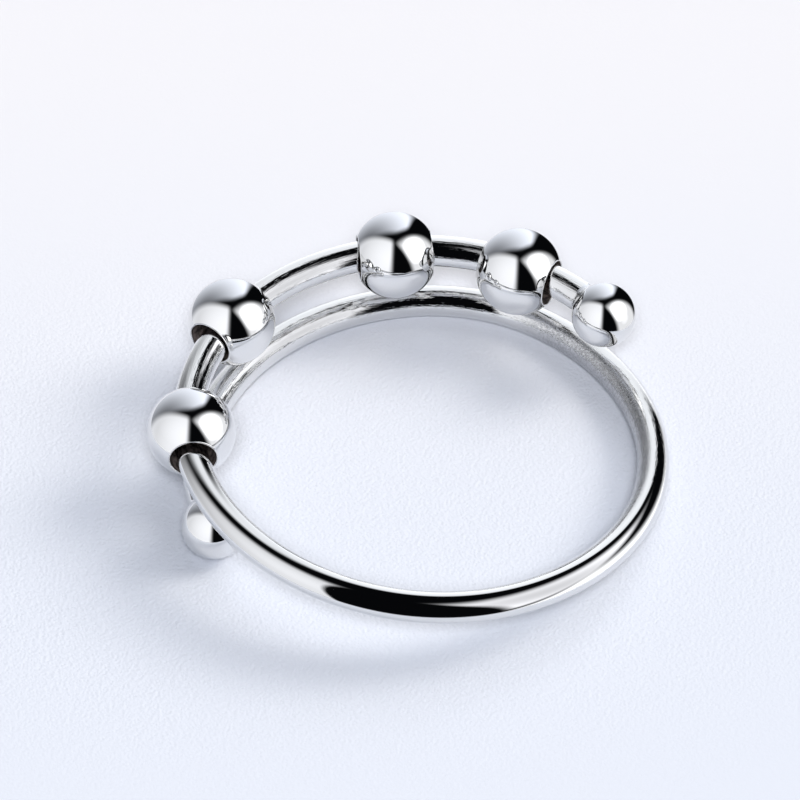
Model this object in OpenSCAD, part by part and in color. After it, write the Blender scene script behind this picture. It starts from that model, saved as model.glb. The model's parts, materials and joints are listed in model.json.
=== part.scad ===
// Spinner ring: a bypass ring of one round wire with a ball fused on each end
// and four loose beads that slide and spin on the upper strand.
// It lies on its side as it rests: +Z is the finger's axis, z = 0 the surface under it.

/* [Ring] */
// Inner diameter that the wire is bent to
ring_bore = 17.6; // [15:0.1:22]
// Thickness of the round wire
wire_d = 1.3; // [1:0.05:1.6]
// Least free height between the upper strand with its beads and what lies under it
strand_gap = 0.05; // [0.03:0.01:0.6]

/* [End balls] */
// Diameter of the ball fused on each end of the wire
end_ball_d = 2.65; // [2.2:0.05:3.2]
// Length of the flare where the wire runs into an end ball
neck_l = 0.3; // [0.15:0.05:0.6]

/* [Beads] */
// Diameter of the loose beads
bead_d = 3.6; // [3:0.1:4.2]
// Free space all round between the wire and a bead's bore
bore_gap = 0.29; // [0.2:0.01:0.35]

/* [Hidden] */
$fn = 96;

// Bends of the wire, from the first ball clockwise seen from above
TURN = 0;
SHARE = 1;
BENDS = [           // TURN in degrees, SHARE of ring_r that is the bend's radius
    [105, 1.02],    // comes down from the first ball to the surface
    [42, 0.9],      // lies on the surface, the tight stretch at the back
    [126, 1.02],    // climbs round the finger
    [91, 1],        // eases to level above the first ball
    [160, 1],       // upper strand, level, carries the beads
];
// Place and heading of the wire's start, in the middle of the first ball
START_SHARE = 0.987;
START_AZIMUTH = 203.4;
START_HEADING = 112;

// Beads: where each has come to rest on the upper strand
AT = 0;
IN = 1;
HANG = 2;
BEADS = [           // AT in degrees along the strand, IN and HANG as shares of bore_gap
    [13.5, 0.2, 0], // held up by the strand under it
    [53, -0.45, 0.3],
    [101, 0.3, 0.15],
    [133.4, 0.3, 0.5],
];

wire_r = wire_d / 2;
ring_r = ring_bore / 2 + wire_r;
ball_r = end_ball_d / 2;
bead_r = bead_d / 2;
bore_d = wire_d + 2 * bore_gap;
UP = [0, 0, 1];

// The ball and the wire rest on one surface, so the wire comes down by this much
drop = ball_r - wire_r;
drop_tilt = asin(drop / bend_r(0) / (1 - cos(bend_turn(0))));
// The first bead rides this far round past the first ball, in degrees, and there
// the lower strand still has this height above where it lies
overlap = turn_before(4) + BEADS[0][AT] - 360;
under_bead = drop * (1 - cos(bend_turn(0) - overlap)) / (1 - cos(bend_turn(0)));
// The upper strand clears the first ball, and its beads clear the lower strand
rise = max(end_ball_d, bead_r + wire_r + under_bead) + strand_gap;
climb_tilt = asin(rise / (bend_r(2) * (1 - cos(bend_turn(2)))
    + bend_r(3) * sin(bend_turn(2)) * tan(bend_turn(3) / 2)));

// The flare is a cone that starts inside the ball and ends just inside the wire
neck_root = ball_r * 0.75;
neck_root_r = sqrt(ball_r * ball_r - neck_root * neck_root) * 0.92;
neck_end = sqrt(ball_r * ball_r - wire_r * wire_r) + neck_l;
neck_sink = 0.02;
// Two bends stop this short of each other, in degrees, and a ball closes the joint
joint_trim = 0.1;
joint_cover = 0.01;

function bend_turn(k) = BENDS[k][TURN];
function bend_r(k) = BENDS[k][SHARE] * ring_r;
function turn_before(k) = k == 0 ? 0 : turn_before(k - 1) + bend_turn(k - 1);

// Level direction to the inner side of a wire that heads along t, clockwise
function inward(t) = [t.y, -t.x, 0] / norm([t.x, t.y]);

// A bend is its start point, heading, inner side, radius and turn
P = 0;
T = 1;
N = 2;
R = 3;
A = 4;
function bend(k, p, t, n) = [p, t, n, bend_r(k), bend_turn(k)];
function point(b, a) = b[P] + b[R] * (sin(a) * b[T] + (1 - cos(a)) * b[N]);
function heading(b, a) = cos(a) * b[T] + sin(a) * b[N];
function side(b, a) = cos(a) * b[N] - sin(a) * b[T];
function end_point(b) = point(b, b[A]);
function end_heading(b) = heading(b, b[A]);
function end_side(b) = side(b, b[A]);
function level_bend(k, b) = bend(k, end_point(b), end_heading(b), inward(end_heading(b)));

// First bend, worked back from its end, where it lies level on the surface
down_heading = [cos(START_HEADING - bend_turn(0)), sin(START_HEADING - bend_turn(0)), 0];
down_side = cos(drop_tilt) * inward(down_heading) + sin(drop_tilt) * UP;
down_bend = bend(0,
    [START_SHARE * ring_r * cos(START_AZIMUTH), START_SHARE * ring_r * sin(START_AZIMUTH), ball_r],
    cos(bend_turn(0)) * down_heading - sin(bend_turn(0)) * down_side,
    sin(bend_turn(0)) * down_heading + cos(bend_turn(0)) * down_side);
floor_bend = level_bend(1, down_bend);
climb_bend = bend(2, end_point(floor_bend), end_heading(floor_bend),
    cos(climb_tilt) * inward(end_heading(floor_bend)) + sin(climb_tilt) * UP);
// The next bend is rolled about the wire by just so much that it ends level
ease_heading = end_heading(climb_bend);
ease_cross = cross(ease_heading, end_side(climb_bend));
ease_lean = atan2(ease_cross.z, end_side(climb_bend).z);
ease_swing = acos(-ease_heading.z / tan(bend_turn(3)) / norm([end_side(climb_bend).z, ease_cross.z]));
ease_roll = abs(ease_lean - ease_swing) < abs(ease_lean + ease_swing)
    ? ease_lean - ease_swing : ease_lean + ease_swing;
ease_bend = bend(3, end_point(climb_bend), ease_heading,
    cos(ease_roll) * end_side(climb_bend) + sin(ease_roll) * ease_cross);
bead_bend = level_bend(4, ease_bend);
WIRE = [down_bend, floor_bend, climb_bend, ease_bend, bead_bend];

// Puts what stands on +Z at a point and turns it to a direction
module along(p, d) {
    translate(p) rotate([0, acos(d.z), atan2(d.y, d.x)]) children();
}

// One bend of the wire, an exact stretch of a torus
module wire_bend(b) {
    z = cross(-b[N], b[T]);
    c = b[P] + b[R] * b[N];
    multmatrix([
        [-b[N].x, b[T].x, z.x, c.x],
        [-b[N].y, b[T].y, z.y, c.y],
        [-b[N].z, b[T].z, z.z, c.z],
        [0, 0, 0, 1],
    ])
        rotate(joint_trim) rotate_extrude(angle = b[A] - 2 * joint_trim) translate([b[R], 0]) circle(d = wire_d);
}

// Ball on an end of the wire with its flare; d is the way that the wire leaves it
module end_ball(p, d) {
    along(p, d) {
        sphere(d = end_ball_d);
        translate([0, 0, neck_root])
            cylinder(r1 = neck_root_r, r2 = wire_r - neck_sink, h = neck_end - neck_root);
    }
}

module wire_band() {
    color("silver") union() {
        for (b = WIRE) wire_bend(b);
        for (k = [1 : len(WIRE) - 1]) along(WIRE[k][P], WIRE[k][T]) sphere(d = wire_d + joint_cover);
        end_ball(down_bend[P], down_bend[T]);
        end_ball(end_point(bead_bend), -end_heading(bead_bend));
    }
}

// Middle of a bead: on the wire, moved by its play towards the finger and down.
// The wire bows inside the straight bore, so the play is counted from half its bow.
function bead_at(row) =
    let (bow = (bead_r * bead_r - bore_d * bore_d / 4) / (2 * bead_bend[R]))
    point(bead_bend, row[AT]) + (bow / 2 + row[IN] * bore_gap) * side(bead_bend, row[AT])
        - row[HANG] * bore_gap * UP;

module bead(row) {
    along(bead_at(row), heading(bead_bend, row[AT])) difference() {
        sphere(d = bead_d);
        cylinder(d = bore_d, h = 2 * bead_d, center = true);
    }
}

module bead_1() { color("gainsboro") bead(BEADS[0]); }
module bead_2() { color("gainsboro") bead(BEADS[1]); }
module bead_3() { color("gainsboro") bead(BEADS[2]); }
module bead_4() { color("gainsboro") bead(BEADS[3]); }

wire_band();
bead_1();
bead_2();
bead_3();
bead_4();
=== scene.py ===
import json
import math
import bmesh
import bpy
from mathutils import Matrix, Vector


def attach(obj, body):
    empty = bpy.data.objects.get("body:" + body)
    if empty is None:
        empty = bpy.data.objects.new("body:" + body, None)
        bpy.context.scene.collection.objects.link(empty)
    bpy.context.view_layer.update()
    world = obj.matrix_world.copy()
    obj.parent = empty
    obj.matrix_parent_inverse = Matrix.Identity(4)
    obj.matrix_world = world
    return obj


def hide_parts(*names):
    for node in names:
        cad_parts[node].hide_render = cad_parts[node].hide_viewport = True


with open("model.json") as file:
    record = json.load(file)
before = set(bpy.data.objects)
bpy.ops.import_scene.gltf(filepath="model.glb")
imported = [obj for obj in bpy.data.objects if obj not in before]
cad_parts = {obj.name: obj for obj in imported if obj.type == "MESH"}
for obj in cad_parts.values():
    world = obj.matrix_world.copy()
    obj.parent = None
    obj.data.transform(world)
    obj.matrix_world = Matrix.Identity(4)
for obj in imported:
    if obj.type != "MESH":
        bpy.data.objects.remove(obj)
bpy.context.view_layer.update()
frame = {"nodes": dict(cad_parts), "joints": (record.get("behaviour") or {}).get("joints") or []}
print("frame loaded:", sorted(frame["nodes"]))

up = Vector((0, 0, 1))
scene = bpy.context.scene


# camera, floor and light

cameraSet = {
    "target": (-0.00106, 0.00446, 0.0),
    "elevation": 47.29,    # degrees above the floor
    "distance": 0.2937,
    "lens": 320.5,         # mm, on a 36 mm sensor
    "sensor": 36.0,
}


def makeCamera():
    e = math.radians(cameraSet["elevation"])
    target = Vector(cameraSet["target"])
    data = bpy.data.cameras.new("camera")
    data.lens = cameraSet["lens"]
    data.sensor_width = cameraSet["sensor"]
    data.clip_start = 0.01
    camera = bpy.data.objects.new("camera", data)
    back = Vector((0, -math.cos(e), math.sin(e)))
    camera.location = target + back * cameraSet["distance"]
    camera.rotation_euler = (math.radians(90) - e, 0, 0)
    scene.collection.objects.link(camera)
    scene.camera = camera


studioSet = {
    "gap": (0.0024, 0.0027, 0.0034),    # what the dark gaps between the panels still give
    "backdrop": (0.86, 0.88, 0.92),
    "floorSize": 3.0,
    "fill": (0.031, 0.034, 0.037),       # even light on the floor from all sides
    "power": 1.2,                       # of the domes' panels
    "bounce": 0.2,                      # their power in the light that the metal throws on the floor
}

# Lamps over the floor: where, how many degrees wide, how strong, and their tint
lamps = [
    ((0.0, -0.63, 0.77), 10, 41.0, (0.985, 1.0, 1.04)),    # beside the camera, so its shadows hide
    ((0.34, 0.41, 0.85), 40, 1.64, (0.99, 1.0, 1.03)),
    ((0.75, 0.18, 0.64), 19, 8.6, (1.06, 1.0, 0.9)),
]

# A panel is the part of the sky on the inner side of its edges. Each edge is the
# normal of a plane through the ring, and how softly the light falls off across it.
# A panel's light is base plus rise, for how far a direction goes each way, and never
# under least.
panels = {
    "left": {
        "tint": (0.97, 0.985, 1.03), "base": 0.71, "rise": (-0.06, -0.3, 0.2),
        "edges": [
            ((-0.99, 0.15, 0.03), 0.16),
            ((-0.45, -0.88, -0.15), 0.16),
            ((-1.0, 0.04, -0.07), 0.14),
        ],
    },
    "right": {
        "tint": (0.98, 0.99, 1.02), "base": -4.0, "rise": (5.0, -1.06, 3.36), "least": 0.85,
        "edges": [
            ((0.7, 0.71, 0.1), 0.13),
            ((0.5, -0.86, -0.09), 0.15),
            ((0.71, -0.65, -0.27), 0.2),
        ],
    },
    "back": {
        "tint": (0.91, 0.955, 1.06), "base": 0.76, "rise": (0.79, 0.23, -0.2),
        "edges": [
            ((-0.71, 0.69, -0.14), 0.15),
            ((-0.9, 0.29, 0.33), 0.09),
            ((0.05, 0.95, -0.32), 0.21),
        ],
    },
}

# The wire mirrors panels of its own
wirePanels = {
    "left": {
        "tint": (0.97, 0.985, 1.03), "base": 0.16, "rise": (-0.46, -0.53, 0.32),
        "edges": [
            ((-0.83, 0.56, -0.03), 0.03),
            ((-0.5, -0.83, -0.25), 0.22),
            ((-0.64, -0.76, 0.1), 0.16),
        ],
    },
    "right": {
        "tint": (0.98, 0.985, 1.03), "base": 2.66, "rise": (-1.54, 0.76, -0.92),
        "edges": [
            ((0.79, 0.61, 0.04), 0.07),
            ((-0.25, -0.52, 0.82), 0.1),
            ((0.78, -0.42, -0.46), 0.22),
        ],
    },
    "low": {
        "tint": (0.98, 0.99, 1.02), "base": 1.44, "rise": (0.16, 0.76, 0.8),
        "edges": [
            ((0.03, -0.35, -0.94), 0.33),
            ((0.26, 0.69, -0.68), 0.09),
            ((0.96, -0.29, -0.01), 0.07),
        ],
    },
    "back": {
        "tint": (0.95, 0.98, 1.03), "base": 2.77, "rise": (2.55, -1.1, -0.82),
        "edges": [
            ((-0.83, 0.48, -0.28), 0.05),
            ((-0.96, 0.27, -0.11), 0.67),
            ((0.2, 0.85, -0.49), 0.14),
        ],
    },
}


def addNode(tree, kind, **values):
    node = tree.nodes.new(kind)
    for name, value in values.items():
        setattr(node, name, value)
    return node


def mathNode(tree, operation, first, second):
    node = addNode(tree, "ShaderNodeMath", operation=operation)
    for socket, value in zip(node.inputs, (first, second)):
        if isinstance(value, (int, float)):
            socket.default_value = value
        else:
            tree.links.new(value, socket)
    return node.outputs[0]


def rampNode(tree, value, low, high, toLow=0.0, toHigh=1.0):
    node = addNode(tree, "ShaderNodeMapRange", interpolation_type="SMOOTHSTEP")
    tree.links.new(value, node.inputs["Value"])
    node.inputs["From Min"].default_value = low
    node.inputs["From Max"].default_value = high
    node.inputs["To Min"].default_value = toLow
    node.inputs["To Max"].default_value = toHigh
    return node.outputs["Result"]


def dotNode(tree, vector, way):
    node = addNode(tree, "ShaderNodeVectorMath", operation="DOT_PRODUCT")
    tree.links.new(vector, node.inputs[0])
    node.inputs[1].default_value = way
    return node.outputs["Value"]


def addGlow(tree, total, kind, tint, level):
    # one more light added to total
    glow = addNode(tree, kind)
    glow.inputs["Color"].default_value = (*tint, 1)
    tree.links.new(level, glow.inputs["Strength"])
    both = addNode(tree, "ShaderNodeAddShader")
    tree.links.new(total, both.inputs[0])
    tree.links.new(glow.outputs[0], both.inputs[1])
    return both.outputs[0]


def makeStudio():
    # light for the floor, and the plain backdrop that the camera sees
    world = bpy.data.worlds.new("studio")
    scene.world = world
    world.use_nodes = True
    world.cycles_visibility.glossy = False
    tree = world.node_tree
    tree.nodes.clear()
    sky = addNode(tree, "ShaderNodeTexCoord").outputs["Generated"]
    fill = addNode(tree, "ShaderNodeBackground")
    fill.inputs["Color"].default_value = (*studioSet["fill"], 1)
    light = fill.outputs[0]
    for way, wide, strength, tint in lamps:
        toLamp = dotNode(tree, sky, Vector(way).normalized())
        level = rampNode(tree, toLamp, math.cos(math.radians(wide)), 1, 0, strength)
        light = addGlow(tree, light, "ShaderNodeBackground", tint, level)
    seen = addNode(tree, "ShaderNodeBackground")
    seen.inputs["Color"].default_value = (*studioSet["backdrop"], 1)
    path = addNode(tree, "ShaderNodeLightPath")
    mix = addNode(tree, "ShaderNodeMixShader")
    out = addNode(tree, "ShaderNodeOutputWorld")
    tree.links.new(path.outputs["Is Camera Ray"], mix.inputs[0])
    tree.links.new(light, mix.inputs[1])
    tree.links.new(seen.outputs[0], mix.inputs[2])
    tree.links.new(mix.outputs[0], out.inputs["Surface"])


def makeDome(name, radius, given, mirrors):
    # a dome of panels that only the given pieces mirror
    bm = bmesh.new()
    bmesh.ops.create_icosphere(bm, subdivisions=3, radius=radius)
    dome = finishMesh(name, bm)
    material = bpy.data.materials.new(name)
    material.use_nodes = True
    tree = material.node_tree
    tree.nodes.clear()
    place = addNode(tree, "ShaderNodeTexCoord").outputs["Object"]
    sky = addNode(tree, "ShaderNodeVectorMath", operation="NORMALIZE")
    tree.links.new(place, sky.inputs[0])
    gap = addNode(tree, "ShaderNodeEmission")
    gap.inputs["Color"].default_value = (*studioSet["gap"], 1)
    light = gap.outputs[0]
    path = addNode(tree, "ShaderNodeLightPath")
    share = rampNode(tree, path.outputs["Diffuse Depth"], 0, 1, studioSet["power"], studioSet["bounce"])
    # below the level of the floor a panel stays as bright as it is there
    raised = addNode(tree, "ShaderNodeVectorMath", operation="MAXIMUM")
    raised.inputs[1].default_value = (-1, -1, 0)
    tree.links.new(sky.outputs[0], raised.inputs[0])
    for panel in given.values():
        level = mathNode(tree, "ADD", dotNode(tree, raised.outputs[0], panel["rise"]), panel["base"])
        level = mathNode(tree, "MULTIPLY", mathNode(tree, "MAXIMUM", level, panel.get("least", 0)), share)
        for way, soft in panel["edges"]:
            inside = rampNode(tree, dotNode(tree, sky.outputs[0], way), -soft, soft)
            level = mathNode(tree, "MULTIPLY", inside, level)
        light = addGlow(tree, light, "ShaderNodeEmission", panel["tint"], level)
    clear = addNode(tree, "ShaderNodeBsdfTransparent")
    both = addNode(tree, "ShaderNodeAddShader")
    out = addNode(tree, "ShaderNodeOutputMaterial")
    tree.links.new(light, both.inputs[0])
    tree.links.new(clear.outputs[0], both.inputs[1])
    tree.links.new(both.outputs[0], out.inputs["Surface"])
    material.cycles.emission_sampling = "NONE"
    dome.data.materials.append(material)
    for ray in ("camera", "diffuse", "transmission", "volume_scatter", "shadow"):
        setattr(dome, "visible_" + ray, False)
    group = bpy.data.collections.new(name + "Mirrors")
    for piece in mirrors:
        group.objects.link(piece)
    dome.light_linking.receiver_collection = group


# materials

def newMaterial(name):
    material = bpy.data.materials.new(name)
    material.use_nodes = True
    tree = material.node_tree
    return material, tree, tree.nodes["Principled BSDF"]


polishSet = {
    "waveScale": 900.0,             # per metre, the slow waves that hand polishing leaves
    "hairScale": 9000.0,            # per metre, hairline marks
    "hairLie": (0.4, 0.9, 0.3),     # how the hairlines lie
    "hairStretch": (1, 0.12, 1),
    "waveDepth": 0.25,
    "hairDepth": 0.05,
    "strength": 0.12,
    "depth": 0.00002,
}


def makePolishGroup():
    group = bpy.data.node_groups.new("polishMarks", "ShaderNodeTree")
    group.interface.new_socket("Wave", in_out="INPUT", socket_type="NodeSocketFloat")
    group.interface.new_socket("Hair", in_out="INPUT", socket_type="NodeSocketFloat")
    group.interface.new_socket("Height", in_out="OUTPUT", socket_type="NodeSocketFloat")
    group.interface.new_socket("Marks", in_out="OUTPUT", socket_type="NodeSocketFloat")
    given = addNode(group, "NodeGroupInput")
    result = addNode(group, "NodeGroupOutput")
    place = addNode(group, "ShaderNodeTexCoord").outputs["Object"]
    wave = addNode(group, "ShaderNodeTexNoise")
    wave.inputs["Scale"].default_value = polishSet["waveScale"]
    wave.inputs["Detail"].default_value = 1.0
    stretch = addNode(group, "ShaderNodeMapping")
    stretch.inputs["Rotation"].default_value = polishSet["hairLie"]
    stretch.inputs["Scale"].default_value = polishSet["hairStretch"]
    hair = addNode(group, "ShaderNodeTexNoise")
    hair.inputs["Scale"].default_value = polishSet["hairScale"]
    hair.inputs["Detail"].default_value = 3.0
    group.links.new(place, wave.inputs["Vector"])
    group.links.new(place, stretch.inputs["Vector"])
    group.links.new(stretch.outputs[0], hair.inputs["Vector"])
    waves = mathNode(group, "MULTIPLY", wave.outputs[0], given.outputs["Wave"])
    hairs = mathNode(group, "MULTIPLY", hair.outputs[0], given.outputs["Hair"])
    group.links.new(mathNode(group, "ADD", waves, hairs), result.inputs["Height"])
    group.links.new(rampNode(group, hair.outputs[0], 0.45, 0.75), result.inputs["Marks"])
    return group


# Finishes: tint, and roughness between the hairlines and on them
silverSet = {
    "wireSilver": ((0.79, 0.79, 0.785), 0.015, 0.05),
    "ballSilver": ((0.79, 0.79, 0.785), 0.01, 0.04),
    "beadSilver": ((0.795, 0.795, 0.79), 0.01, 0.035),
}


def makeSilver(name, group):
    tint, roughLow, roughHigh = silverSet[name]
    material, tree, shader = newMaterial(name)
    marks = addNode(tree, "ShaderNodeGroup")
    marks.node_tree = group
    marks.inputs["Wave"].default_value = polishSet["waveDepth"]
    marks.inputs["Hair"].default_value = polishSet["hairDepth"]
    bump = addNode(tree, "ShaderNodeBump")
    bump.inputs["Strength"].default_value = polishSet["strength"]
    bump.inputs["Distance"].default_value = polishSet["depth"]
    tree.links.new(marks.outputs["Height"], bump.inputs["Height"])
    tree.links.new(bump.outputs[0], shader.inputs["Normal"])
    rough = rampNode(tree, marks.outputs["Marks"], 0, 1, roughLow, roughHigh)
    tree.links.new(rough, shader.inputs["Roughness"])
    shader.inputs["Base Color"].default_value = (*tint, 1)
    shader.inputs["Metallic"].default_value = 1
    return material


wearAndShadeSet = {
    "pits": 12000.0,                    # per metre
    "pitDepth": 0.000008,
    "pitRough": 0.25,
    # painted shade: the darker tint of the inner side, where the wire mirrors the shaded floor
    "paintedShadeTint": (0.42, 0.425, 0.44),
    "innerFacing": (0.1, 0.45),         # pitted, and tinted darker with painted shade, where the wire faces the finger's axis, lies low and is at the right
    "innerHeight": (0.0026, 0.0019),    # lies low
    "innerSide": (0.003, 0.0055),       # and is at the right
    "rubs": 15000.0,                    # per metre across, marks that the beads leave along the wire
    "rubDepth": 0.0000045,
    "rubStretch": 0.0008,
    "rubBack": (-0.004, 0.001),         # they begin here, towards the back
    "strength": 0.6,
}


def wearAndShadeWire(material):
    # a pitted inner side, tinted darker with painted shade where it mirrors the shaded floor, and rub marks
    # along the strands at the back
    tree = material.node_tree
    shader = tree.nodes["Principled BSDF"]
    coords = addNode(tree, "ShaderNodeTexCoord")
    place = addNode(tree, "ShaderNodeSeparateXYZ")
    tree.links.new(coords.outputs["Object"], place.inputs[0])
    level = addNode(tree, "ShaderNodeVectorMath", operation="MULTIPLY")
    level.inputs[1].default_value = (-1, -1, 0)
    tree.links.new(coords.outputs["Object"], level.inputs[0])
    inward = addNode(tree, "ShaderNodeVectorMath", operation="NORMALIZE")
    tree.links.new(level.outputs[0], inward.inputs[0])
    facing = addNode(tree, "ShaderNodeVectorMath", operation="DOT_PRODUCT")
    tree.links.new(coords.outputs["Normal"], facing.inputs[0])
    tree.links.new(inward.outputs[0], facing.inputs[1])
    inner = rampNode(tree, facing.outputs["Value"], *wearAndShadeSet["innerFacing"])
    low = rampNode(tree, place.outputs["Z"], *wearAndShadeSet["innerHeight"])
    atRight = rampNode(tree, place.outputs["X"], *wearAndShadeSet["innerSide"])
    inner = mathNode(tree, "MULTIPLY", mathNode(tree, "MULTIPLY", inner, low), atRight)
    pits = addNode(tree, "ShaderNodeTexNoise")
    pits.inputs["Scale"].default_value = wearAndShadeSet["pits"]
    pits.inputs["Detail"].default_value = 3.0
    tree.links.new(coords.outputs["Object"], pits.inputs["Vector"])
    pitted = mathNode(tree, "MULTIPLY", inner, rampNode(tree, pits.outputs[0], 0.35, 0.65))
    reach = addNode(tree, "ShaderNodeVectorMath", operation="LENGTH")
    tree.links.new(level.outputs[0], reach.inputs[0])
    turn = mathNode(tree, "ARCTAN2", place.outputs["Y"], place.outputs["X"])
    along = addNode(tree, "ShaderNodeCombineXYZ")
    tree.links.new(mathNode(tree, "MULTIPLY", turn, wearAndShadeSet["rubStretch"]), along.inputs["X"])
    tree.links.new(reach.outputs["Value"], along.inputs["Y"])
    tree.links.new(place.outputs["Z"], along.inputs["Z"])
    rubs = addNode(tree, "ShaderNodeTexNoise")
    rubs.inputs["Scale"].default_value = wearAndShadeSet["rubs"]
    rubs.inputs["Detail"].default_value = 2.0
    tree.links.new(along.outputs[0], rubs.inputs["Vector"])
    atBack = rampNode(tree, place.outputs["Y"], *wearAndShadeSet["rubBack"])
    rubbed = mathNode(tree, "MULTIPLY", atBack, rampNode(tree, rubs.outputs[0], 0.35, 0.65))
    normal = shader.inputs["Normal"].links[0].from_socket
    for height, depth in ((pitted, wearAndShadeSet["pitDepth"]), (rubbed, wearAndShadeSet["rubDepth"])):
        bump = addNode(tree, "ShaderNodeBump")
        bump.inputs["Strength"].default_value = wearAndShadeSet["strength"]
        bump.inputs["Distance"].default_value = depth
        tree.links.new(height, bump.inputs["Height"])
        tree.links.new(normal, bump.inputs["Normal"])
        normal = bump.outputs[0]
    tree.links.new(normal, shader.inputs["Normal"])
    rough = shader.inputs["Roughness"].links[0].from_socket
    rough = mathNode(tree, "ADD", rough, mathNode(tree, "MULTIPLY", pitted, wearAndShadeSet["pitRough"]))
    tree.links.new(rough, shader.inputs["Roughness"])
    # painted shade: the inner side is tinted darker in patches, in place of the shaded floor that it mirrors
    mix = addNode(tree, "ShaderNodeMix", data_type="RGBA")
    patchyShade = rampNode(tree, pits.outputs[0], 0.3, 0.7, 0.5, 1)
    tree.links.new(mathNode(tree, "MULTIPLY", inner, patchyShade), mix.inputs["Factor"])
    mix.inputs["A"].default_value = shader.inputs["Base Color"].default_value
    mix.inputs["B"].default_value = (*wearAndShadeSet["paintedShadeTint"], 1)
    tree.links.new(mix.outputs["Result"], shader.inputs["Base Color"])


boreSet = {
    "grain": 4500.0,        # per metre
    "dark": (0.05, 0.04, 0.04),
    "light": (0.36, 0.3, 0.28),
    "metal": 0.5,
    "roughness": 0.4,
    "strength": 0.4,
    "depth": 0.00002,
}


def makeBoreSilver():
    # an unpolished bore, half dull brownish tarnish
    material, tree, shader = newMaterial("boreSilver")
    place = addNode(tree, "ShaderNodeTexCoord").outputs["Object"]
    grain = addNode(tree, "ShaderNodeTexNoise")
    grain.inputs["Scale"].default_value = boreSet["grain"]
    grain.inputs["Detail"].default_value = 4.0
    tree.links.new(place, grain.inputs["Vector"])
    ramp = addNode(tree, "ShaderNodeValToRGB")
    ramp.color_ramp.elements[0].position = 0.35
    ramp.color_ramp.elements[0].color = (*boreSet["dark"], 1)
    ramp.color_ramp.elements[1].position = 0.7
    ramp.color_ramp.elements[1].color = (*boreSet["light"], 1)
    tree.links.new(grain.outputs[0], ramp.inputs[0])
    tree.links.new(ramp.outputs[0], shader.inputs["Base Color"])
    shader.inputs["Metallic"].default_value = boreSet["metal"]
    shader.inputs["Roughness"].default_value = boreSet["roughness"]
    bump = addNode(tree, "ShaderNodeBump")
    bump.inputs["Strength"].default_value = boreSet["strength"]
    bump.inputs["Distance"].default_value = boreSet["depth"]
    tree.links.new(grain.outputs[0], bump.inputs["Height"])
    tree.links.new(bump.outputs[0], shader.inputs["Normal"])
    return material


floorSet = {
    "near": (0.758, 0.795, 0.885),      # colour in front of the ring, darker and a little bluer: painted shade
    "far": (0.843, 0.843, 0.884),
    "fade": (-0.008, 0.028),            # where the one turns to the other, along Y
    "roughness": 0.6,
    "grain": 8500.0,                    # cells per metre
    "depth": 0.000027,
    "grainMiddle": (-0.005, -0.002),
    "grainWide": 0.45,                  # how little a step to the side counts, against one to the front
    "plain": (0.007, 0.018),            # the grain wears out this far from its middle
    "plainLeft": 0.08,                  # and this much of it is left
    "deep": (-0.012, -0.007),           # it is deeper at the left
    "deepBy": 1.15,
    "mirrorMiddle": (-0.003, 0.002),
    "mirror": (0.0165, 0.0185),         # the metal mirrors the floor no farther than this
}


def reachNode(tree, place, middle, wide):
    # distance along the floor from a middle, with X counting less by wide
    centred = addNode(tree, "ShaderNodeMapping")
    centred.inputs["Location"].default_value = (-middle[0] * wide, -middle[1], 0)
    centred.inputs["Scale"].default_value = (wide, 1, 0)
    tree.links.new(place, centred.inputs["Vector"])
    reach = addNode(tree, "ShaderNodeVectorMath", operation="LENGTH")
    tree.links.new(centred.outputs[0], reach.inputs[0])
    return reach.outputs["Value"]


def makeFloor():
    bm = bmesh.new()
    bmesh.ops.create_grid(bm, x_segments=1, y_segments=1, size=studioSet["floorSize"] / 2)
    floor = finishMesh("floor", bm)
    material, tree, shader = newMaterial("floorSheet")
    place = addNode(tree, "ShaderNodeTexCoord").outputs["Object"]
    parts = addNode(tree, "ShaderNodeSeparateXYZ")
    tree.links.new(place, parts.inputs[0])
    # painted shade: the floor's colour turns darker and bluer towards the front
    fade = addNode(tree, "ShaderNodeMix", data_type="RGBA")
    tree.links.new(rampNode(tree, parts.outputs["Y"], *floorSet["fade"]), fade.inputs["Factor"])
    fade.inputs["A"].default_value = (*floorSet["near"], 1)
    fade.inputs["B"].default_value = (*floorSet["far"], 1)
    tree.links.new(fade.outputs["Result"], shader.inputs["Base Color"])
    cells = addNode(tree, "ShaderNodeTexVoronoi", feature="SMOOTH_F1")
    cells.inputs["Scale"].default_value = floorSet["grain"]
    tree.links.new(place, cells.inputs["Vector"])
    bump = addNode(tree, "ShaderNodeBump")
    bump.inputs["Distance"].default_value = floorSet["depth"]
    reach = reachNode(tree, place, floorSet["grainMiddle"], floorSet["grainWide"])
    worn = rampNode(tree, reach, *floorSet["plain"], 1, floorSet["plainLeft"])
    deep = rampNode(tree, parts.outputs["X"], *floorSet["deep"], floorSet["deepBy"], 1)
    height = mathNode(tree, "MULTIPLY", cells.outputs["Distance"], mathNode(tree, "MULTIPLY", worn, deep))
    tree.links.new(height, bump.inputs["Height"])
    tree.links.new(bump.outputs[0], shader.inputs["Normal"])
    shader.inputs["Roughness"].default_value = floorSet["roughness"]
    # past the near floor the metal mirrors the domes' panels
    reach = reachNode(tree, place, floorSet["mirrorMiddle"], 1)
    beyond = rampNode(tree, reach, *floorSet["mirror"])
    path = addNode(tree, "ShaderNodeLightPath")
    clear = addNode(tree, "ShaderNodeBsdfTransparent")
    mix = addNode(tree, "ShaderNodeMixShader")
    tree.links.new(mathNode(tree, "MULTIPLY", beyond, path.outputs["Is Glossy Ray"]), mix.inputs[0])
    tree.links.new(shader.outputs[0], mix.inputs[1])
    tree.links.new(clear.outputs[0], mix.inputs[2])
    tree.links.new(mix.outputs[0], tree.nodes["Material Output"].inputs["Surface"])
    floor.data.materials.append(material)
    return floor


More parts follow.
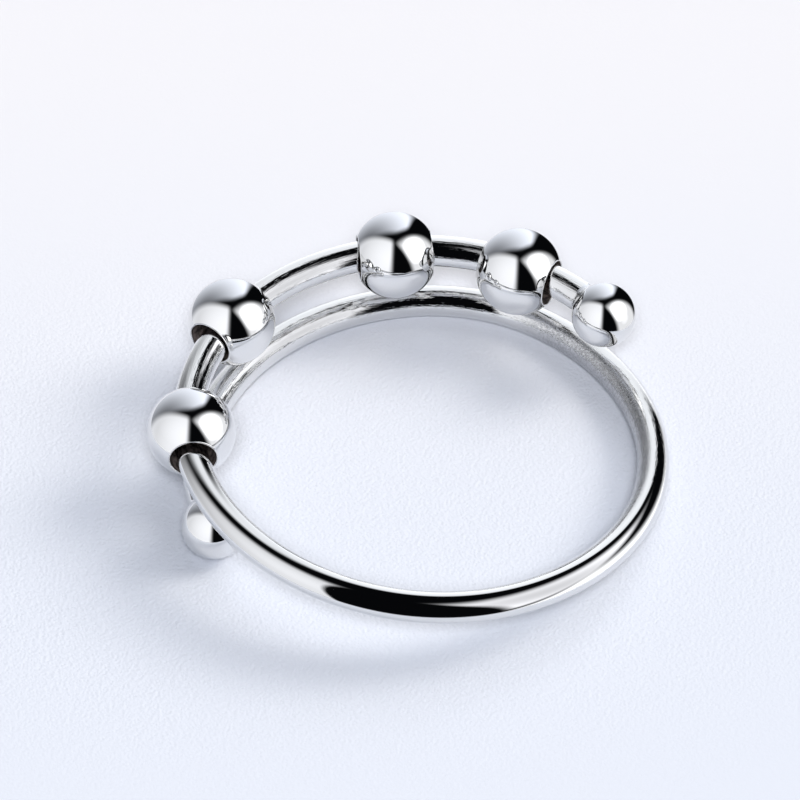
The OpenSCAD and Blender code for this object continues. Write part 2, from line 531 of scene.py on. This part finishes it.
def finishMesh(name, bm, materials=()):
    bmesh.ops.remove_doubles(bm, verts=bm.verts, dist=1e-7)
    bmesh.ops.recalc_face_normals(bm, faces=bm.faces)
    for face in bm.faces:
        face.smooth = True
    mesh = bpy.data.meshes.new(name)
    bm.to_mesh(mesh)
    bm.free()
    for material in materials:
        mesh.materials.append(material)
    piece = bpy.data.objects.new(name, mesh)
    scene.collection.objects.link(piece)
    return piece


# the wire

wireSet = {
    "wireR": 0.00065,
    "ringR": 0.00945,      # middle of the wire to the finger's axis
    "ballR": 0.001325,
    "startShare": 0.987,
    "startAzimuth": 203.4,
    "startHeading": 112.0,
    "bends": [(105, 1.02), (42, 0.9), (126, 1.02), (91, 1.0), (160, 1.0)],   # turn, share of ringR
    "fillet": 0.00032,     # radius of the hollow where the wire runs into a ball
    "filletSteps": 6,
    "sides": 80,
    "ballRows": 60,
    "stepTurn": 1.25,      # degrees of bend for each ring of faces
}


def levelSide(way):
    return Vector((way.y, -way.x, 0)).normalized()


def alongBend(bend, turn):
    # place, heading and inner side after some turn of a bend
    place, way, side, radius = bend[:4]
    c, s = math.cos(turn), math.sin(turn)
    return place + radius * (s * way + (1 - c) * side), c * way + s * side, c * side - s * way


def layWire(rise):
    # the five bends of the wire, each as start, heading, inner side, radius and turn;
    # rise goes from the strand on the floor to the upper strand
    turns = [math.radians(t) for t, share in wireSet["bends"]]
    radii = [share * wireSet["ringR"] for t, share in wireSet["bends"]]
    drop = wireSet["ballR"] - wireSet["wireR"]
    tilt = math.asin(drop / radii[0] / (1 - math.cos(turns[0])))
    h = math.radians(wireSet["startHeading"]) - turns[0]
    way = Vector((math.cos(h), math.sin(h), 0))
    side = math.cos(tilt) * levelSide(way) + math.sin(tilt) * up
    a = math.radians(wireSet["startAzimuth"])
    start = wireSet["startShare"] * wireSet["ringR"] * Vector((math.cos(a), math.sin(a), 0))
    start.z = wireSet["ballR"]
    c, s = math.cos(turns[0]), math.sin(turns[0])
    bends = [(start, c * way - s * side, s * way + c * side, radii[0], turns[0])]
    place, way, side = alongBend(bends[0], turns[0])
    bends.append((place, way, levelSide(way), radii[1], turns[1]))
    place, way, side = alongBend(bends[1], turns[1])
    climb = radii[2] * (1 - math.cos(turns[2])) + radii[3] * math.sin(turns[2]) * math.tan(turns[3] / 2)
    tilt = math.asin(rise / climb)
    bends.append((place, way, math.cos(tilt) * levelSide(way) + math.sin(tilt) * up, radii[2], turns[2]))
    place, way, side = alongBend(bends[2], turns[2])
    cross = way.cross(side)
    lean = math.atan2(cross.z, side.z)
    swing = math.acos(-way.z / math.tan(turns[3]) / math.hypot(side.z, cross.z))
    roll = min(lean - swing, lean + swing, key=abs)
    bends.append((place, way, math.cos(roll) * side + math.sin(roll) * cross, radii[3], turns[3]))
    place, way, side = alongBend(bends[3], turns[3])
    bends.append((place, way, levelSide(way), radii[4], turns[4]))
    return bends


def turnedTo(place, way):
    return Matrix.Translation(place) @ way.to_track_quat("Z", "Y").to_matrix().to_4x4()


def ringAt(bm, place, way, radius):
    # one circle of edges square to the wire
    made = bmesh.ops.create_circle(bm, segments=wireSet["sides"], radius=radius, matrix=turnedTo(place, way))
    return list({e for v in made["verts"] for e in v.link_edges})


def capEnds(bm):
    # flat faces over the open ends, with hard rims that keep the sides smooth
    rims = [e for e in bm.edges if e.is_boundary]
    bmesh.ops.holes_fill(bm, edges=rims, sides=0)
    for edge in rims:
        edge.smooth = False


def neckReach():
    # from a ball's middle to where its hollow ends on the wire
    hollow = wireSet["fillet"]
    return math.sqrt((wireSet["ballR"] + hollow) ** 2 - (wireSet["wireR"] + hollow) ** 2)


def makeWire(bends, materials):
    bm = bmesh.new()
    neckTurns = [2 * math.asin(neckReach() / 2 / bend[3]) for bend in (bends[0], bends[-1])]
    place, way, side = alongBend(bends[0], neckTurns[0])
    loop = ringAt(bm, place, way, wireSet["wireR"])
    for k, (place, way, side, radius, turn) in enumerate(bends):
        sweep = turn - (neckTurns[0] if k == 0 else 0) - (neckTurns[1] if k == len(bends) - 1 else 0)
        steps = round(math.degrees(sweep) / wireSet["stepTurn"])
        made = bmesh.ops.spin(bm, geom=list({v for e in loop for v in e.verts}) + loop,
                              cent=place + radius * side, axis=way.cross(side), angle=sweep, steps=steps)
        loop = [g for g in made["geom_last"] if isinstance(g, bmesh.types.BMEdge)]
    capEnds(bm)
    wire = finishMesh("polished_wire", bm, materials)
    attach(wire, "band")
    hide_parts("wire_band")
    return wire, neckTurns


def makeEndBall(name, centre, neck, heading, materials):
    # a sphere opened towards the wire, and rings along the hollow arc that meets the wire
    bm = bmesh.new()
    r, thin, hollow, steps = [wireSet[k] for k in ("ballR", "wireR", "fillet", "filletSteps")]
    axis = (neck - centre).normalized()
    arc = math.acos((thin + hollow) / (r + hollow))
    bmesh.ops.create_uvsphere(bm, u_segments=wireSet["sides"], v_segments=wireSet["ballRows"],
                              radius=r, matrix=turnedTo(centre, axis))
    cut = bmesh.ops.bisect_plane(bm, geom=bm.verts[:] + bm.edges[:] + bm.faces[:], clear_outer=True,
                                 plane_co=centre + axis * r * math.sin(arc), plane_no=axis, dist=1e-9)
    loop = [g for g in cut["geom_cut"] if isinstance(g, bmesh.types.BMEdge)]
    for k in range(1, steps + 1):
        a = arc * (1 - k / steps)
        place = centre + axis * (neckReach() - hollow * math.sin(a))
        ring = ringAt(bm, place, axis.lerp(heading, k / steps), thin + hollow * (1 - math.cos(a)))
        bmesh.ops.bridge_loops(bm, edges=loop + ring)
        loop = ring
    capEnds(bm)
    ball = finishMesh(name, bm, materials)
    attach(ball, "band")
    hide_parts("wire_band")
    return ball


# the beads

beadSet = {
    "ballR": 0.0018,
    "boreR": 0.00094,
    "lip": 0.00007,       # rounding of the hole's rim
    "around": 160,
    "along": 72,
}


def makeBead(name, node, place, way, materials):
    # half an outline spun about the bore: outside arc, rounded lips, straight bore
    bm = bmesh.new()
    r, bore = beadSet["ballR"], beadSet["boreR"]
    half = math.sqrt(r * r - bore * bore)
    hole = math.atan2(bore, half)
    start = bm.verts.new((bore, 0, half))
    made = bmesh.ops.spin(bm, geom=[start], cent=(0, 0, 0), axis=(0, 1, 0),
                          angle=math.pi - 2 * hole, steps=beadSet["along"])
    last = [g for g in made["geom_last"] if isinstance(g, bmesh.types.BMVert)][0]
    bm.edges.new((last, start))
    profile = list(bm.verts) + list(bm.edges)
    bmesh.ops.spin(bm, geom=profile, cent=(0, 0, 0), axis=(0, 0, 1), angle=math.tau,
                   steps=beadSet["around"], use_merge=True)
    bmesh.ops.remove_doubles(bm, verts=bm.verts, dist=1e-7)
    lips = [e for e in bm.edges if all(abs(math.hypot(v.co.x, v.co.y) - bore) < 1e-6 for v in e.verts)
            and abs(e.verts[0].co.z - e.verts[1].co.z) < 1e-7]
    bmesh.ops.bevel(bm, geom=lips, offset=beadSet["lip"], offset_type="OFFSET", segments=5, profile=0.5,
                    affect="EDGES", material=-1)
    bmesh.ops.recalc_face_normals(bm, faces=bm.faces)
    for face in bm.faces:
        middle = face.calc_center_median()
        face.material_index = 1 if math.hypot(middle.x, middle.y) < bore * 1.001 else 0
    bmesh.ops.transform(bm, verts=bm.verts, matrix=turnedTo(place, way))
    bead = finishMesh(name, bm, materials)
    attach(bead, node)
    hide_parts(node)
    return bead


makeCamera()
makeStudio()
floor = makeFloor()
print("camera, studio and floor made")

polish = makePolishGroup()
wireSilver, ballSilver, beadSilver = [makeSilver(name, polish) for name in silverSet]
wearAndShadeWire(wireSilver)
boreSilver = makeBoreSilver()
print("materials made")

# the first bead sits level with the strand that carries it
firstBead = next(joint for joint in frame["joints"] if joint["child"] == "bead_1")
bends = layWire(firstBead["pos_m"][2] - wireSet["wireR"])
wire, neckTurns = makeWire(bends, [wireSilver])
neck, way, side = alongBend(bends[0], neckTurns[0])
mirrors = [makeEndBall("end_ball_low", bends[0][0], neck, way, [ballSilver])]
neck, way, side = alongBend(bends[-1], bends[-1][4] - neckTurns[1])
wireEnd = alongBend(bends[-1], bends[-1][4])[0]
mirrors.append(makeEndBall("end_ball_high", wireEnd, neck, -way, [ballSilver]))
print("wire and end balls made")
for joint in frame["joints"]:
    node = joint["child"]
    place, way = [Vector(joint[k]) for k in ("pos_m", "axis")]
    mirrors.append(makeBead("spin_" + node, node, place, way, [beadSilver, boreSilver]))
print("beads made")

makeDome("wireDome", 1.2, wirePanels, [wire])
makeDome("beadDome", 1.3, panels, mirrors + [floor])
scene.view_settings.view_transform = "Standard"
print("domes made")
